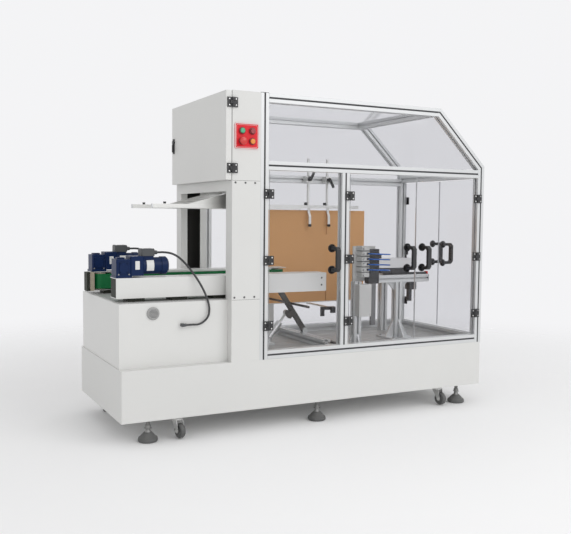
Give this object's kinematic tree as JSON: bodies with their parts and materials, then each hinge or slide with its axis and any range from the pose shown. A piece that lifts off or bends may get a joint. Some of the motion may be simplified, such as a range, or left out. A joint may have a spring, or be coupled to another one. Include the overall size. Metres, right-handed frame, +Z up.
{
  "type": "case erector",
  "caption": "Case erector: grey plinth on levelling feet and castors, side-belt outfeed with gearmotors, portal with control panel, and a slotted-profile enclosure with clear hinged doors.",
  "frame": {"origin": "middle of the footprint on the floor, measured over the handles and belt end brackets", "axes": "+X along the line from the outfeed end to the guarded end, +Y from the front to the back, +Z up"},
  "size_m": [1.965, 0.762, 1.49],
  "materials": {
    "light_paint": "fine textured light grey powder coat",
    "white_paint": "smooth white powder coat",
    "deck_steel": "matt grey steel sheet",
    "profile": "anodised slotted profile",
    "clear_sheet": "clear grey-blue plastic sheet",
    "black_plastic": "black moulded plastic",
    "red_plate": "red control plate",
    "green_button": "green button cap",
    "dark_red_button": "dark red button cap",
    "red_button": "red mushroom head",
    "orange_button": "orange button cap",
    "foot_rubber": "black rubber",
    "zinc_steel": "zinc-plated steel",
    "dark_steel": "blackened steel",
    "belt": "green conveyor belting",
    "roller": "beige plastic",
    "motor_paint": "dark blue paint",
    "terminal_plastic": "dark grey plastic",
    "cable_rubber": "black cable sheath",
    "bright_steel": "ground steel",
    "cardboard": "brown corrugated board",
    "cylinder_alu": "anodised cylinder body",
    "pusher_steel": "grey steel",
    "valve_plastic": "light grey plastic",
    "air_hose": "blue polyurethane hose"
  },
  "bodies": {
    "machine": {"base_plinth": "light_paint", "portal_frame": "light_paint", "electrical_cabinet": "light_paint", "outfeed_cabinet": "white_paint", "belt_beams": "white_paint", "deck_plates": "deck_steel", "enclosure_posts": "profile", "long_rails": "profile", "cross_rails": "profile", "station_frame": "profile", "clear_panels": "clear_sheet", "hinge_leaves": "black_plastic", "button_bezels": "black_plastic", "clamp_levers": "black_plastic", "control_plate": "red_plate", "foot_pads": "foot_rubber", "foot_stems": "zinc_steel", "belt_brackets": "dark_steel", "station_fittings": "dark_steel", "side_belts": "belt", "belt_rollers": "roller", "gearmotors": "motor_paint", "cable_fittings": "terminal_plastic", "front_motor_cable": "cable_rubber", "rear_motor_cable": "cable_rubber", "top_guides": "bright_steel", "blank_magazine": "bright_steel", "case_blank": "cardboard", "pusher_cylinder": "cylinder_alu", "valve_block": "valve_plastic", "air_hoses": "air_hose"},
    "electrical_door": {"electrical_door": "white_paint", "electrical_door_fittings": "black_plastic"},
    "front_door_left": {"front_door_left": "clear_sheet", "front_door_left_fittings": "black_plastic"},
    "front_door_middle": {"front_door_middle": "clear_sheet", "front_door_middle_fittings": "black_plastic"},
    "front_door_right": {"front_door_right": "clear_sheet", "front_door_right_fittings": "black_plastic"},
    "end_door_front": {"end_door_front": "clear_sheet", "end_door_front_fittings": "black_plastic"},
    "end_door_rear": {"end_door_rear": "clear_sheet", "end_door_rear_fittings": "black_plastic"},
    "start_button": {"start_button": "green_button"},
    "stop_button": {"stop_button": "dark_red_button"},
    "emergency_stop": {"emergency_stop": "red_button"},
    "reset_button": {"reset_button": "orange_button"},
    "pusher": {"pusher_carriage": "pusher_steel"},
    "folder_arm": {"folder_arm": "dark_steel"},
    "folder_cylinder": {"folder_cylinder": "cylinder_alu"},
    "folder_rod": {"folder_rod": "zinc_steel"},
    "castor_fork_front_left": {"castor_fork_front_left": "zinc_steel"},
    "castor_wheel_front_left": {"castor_wheel_front_left": "foot_rubber"},
    "castor_fork_front_right": {"castor_fork_front_right": "zinc_steel"},
    "castor_wheel_front_right": {"castor_wheel_front_right": "foot_rubber"},
    "castor_fork_rear_left": {"castor_fork_rear_left": "zinc_steel"},
    "castor_wheel_rear_left": {"castor_wheel_rear_left": "foot_rubber"},
    "castor_fork_rear_right": {"castor_fork_rear_right": "zinc_steel"},
    "castor_wheel_rear_right": {"castor_wheel_rear_right": "foot_rubber"}
  },
  "joints": [
    {"name": "electrical_door_swing", "type": "hinge", "parent": "machine", "child": "electrical_door", "pos_m": [-0.4725, -0.331, 1.2985], "axis": [0, 0, 1], "range_deg": [0, 100]},
    {"name": "front_door_left_swing", "type": "hinge", "parent": "machine", "child": "front_door_left", "pos_m": [-0.2965, -0.331, 0.76], "axis": [0, 0, -1], "range_deg": [0, 100]},
    {"name": "front_door_middle_swing", "type": "hinge", "parent": "machine", "child": "front_door_middle", "pos_m": [0.1215, -0.331, 0.76], "axis": [0, 0, -1], "range_deg": [0, 100]},
    {"name": "front_door_right_swing", "type": "hinge", "parent": "machine", "child": "front_door_right", "pos_m": [0.8855, -0.331, 0.76], "axis": [0, 0, 1], "range_deg": [0, 100]},
    {"name": "end_door_front_swing", "type": "hinge", "parent": "machine", "child": "end_door_front", "pos_m": [0.9325, -0.284, 0.76], "axis": [0, 0, -1], "range_deg": [0, 100]},
    {"name": "end_door_rear_swing", "type": "hinge", "parent": "machine", "child": "end_door_rear", "pos_m": [0.9325, 0.34, 0.76], "axis": [0, 0, 1], "range_deg": [0, 100]},
    {"name": "castor_front_left_swivel", "type": "hinge", "parent": "machine", "child": "castor_fork_front_left", "pos_m": [-0.6975, -0.263, 0.0875], "axis": [0, 0, 1], "continuous": true},
    {"name": "castor_front_left_roll", "type": "hinge", "parent": "castor_fork_front_left", "child": "castor_wheel_front_left", "pos_m": [-0.69293, -0.28452, 0.0345], "axis": [0.9781, 0.2079, 0], "continuous": true},
    {"name": "castor_rear_left_swivel", "type": "hinge", "parent": "machine", "child": "castor_fork_rear_left", "pos_m": [-0.6975, 0.319, 0.0875], "axis": [0, 0, 1], "continuous": true},
    {"name": "castor_rear_left_roll", "type": "hinge", "parent": "castor_fork_rear_left", "child": "castor_wheel_rear_left", "pos_m": [-0.69293, 0.29748, 0.0345], "axis": [0.9781, 0.2079, 0], "continuous": true},
    {"name": "castor_front_right_swivel", "type": "hinge", "parent": "machine", "child": "castor_fork_front_right", "pos_m": [0.7025, -0.263, 0.0875], "axis": [0, 0, 1], "continuous": true},
    {"name": "castor_front_right_roll", "type": "hinge", "parent": "castor_fork_front_right", "child": "castor_wheel_front_right", "pos_m": [0.70707, -0.28452, 0.0345], "axis": [0.9781, 0.2079, 0], "continuous": true},
    {"name": "castor_rear_right_swivel", "type": "hinge", "parent": "machine", "child": "castor_fork_rear_right", "pos_m": [0.7025, 0.319, 0.0875], "axis": [0, 0, 1], "continuous": true},
    {"name": "castor_rear_right_roll", "type": "hinge", "parent": "castor_fork_rear_right", "child": "castor_wheel_rear_right", "pos_m": [0.70707, 0.29748, 0.0345], "axis": [0.9781, 0.2079, 0], "continuous": true},
    {"name": "start_button_press", "type": "slide", "parent": "machine", "child": "start_button", "axis": [0, 1, 0], "range_m": [0, 0.004], "stiffness_N_per_m": 1500, "springref_m": -0.002},
    {"name": "stop_button_press", "type": "slide", "parent": "machine", "child": "stop_button", "axis": [0, 1, 0], "range_m": [0, 0.004], "stiffness_N_per_m": 1500, "springref_m": -0.002},
    {"name": "emergency_stop_press", "type": "slide", "parent": "machine", "child": "emergency_stop", "axis": [0, 1, 0], "range_m": [0, 0.004], "stiffness_N_per_m": 1500, "springref_m": -0.002},
    {"name": "reset_button_press", "type": "slide", "parent": "machine", "child": "reset_button", "axis": [0, 1, 0], "range_m": [0, 0.004], "stiffness_N_per_m": 1500, "springref_m": -0.002},
    {"name": "pusher_slide", "type": "slide", "parent": "machine", "child": "pusher", "axis": [-1, 0, 0], "range_m": [0, 0.15]},
    {"name": "folder_swing", "type": "hinge", "parent": "machine", "child": "folder_arm", "pos_m": [0.0935, 0.055, 0.378], "axis": [0, 1, 0], "range_deg": [0, 20]},
    {"name": "folder_cylinder_swing", "type": "hinge", "parent": "machine", "child": "folder_cylinder", "pos_m": [-0.1145, 0.055, 0.341], "axis": [0, 1, 0], "range_deg": [0, 4]},
    {"name": "folder_rod_slide", "type": "slide", "parent": "folder_cylinder", "child": "folder_rod", "axis": [0.6279, 0, 0.7783], "range_m": [0, 0.05]}
  ],
  "couplings": [
    {"joint": "folder_cylinder_swing", "follows": "folder_swing", "ratio": 0.142},
    {"joint": "folder_rod_slide", "follows": "folder_swing", "m_per_rad": 0.1355}
  ]
}
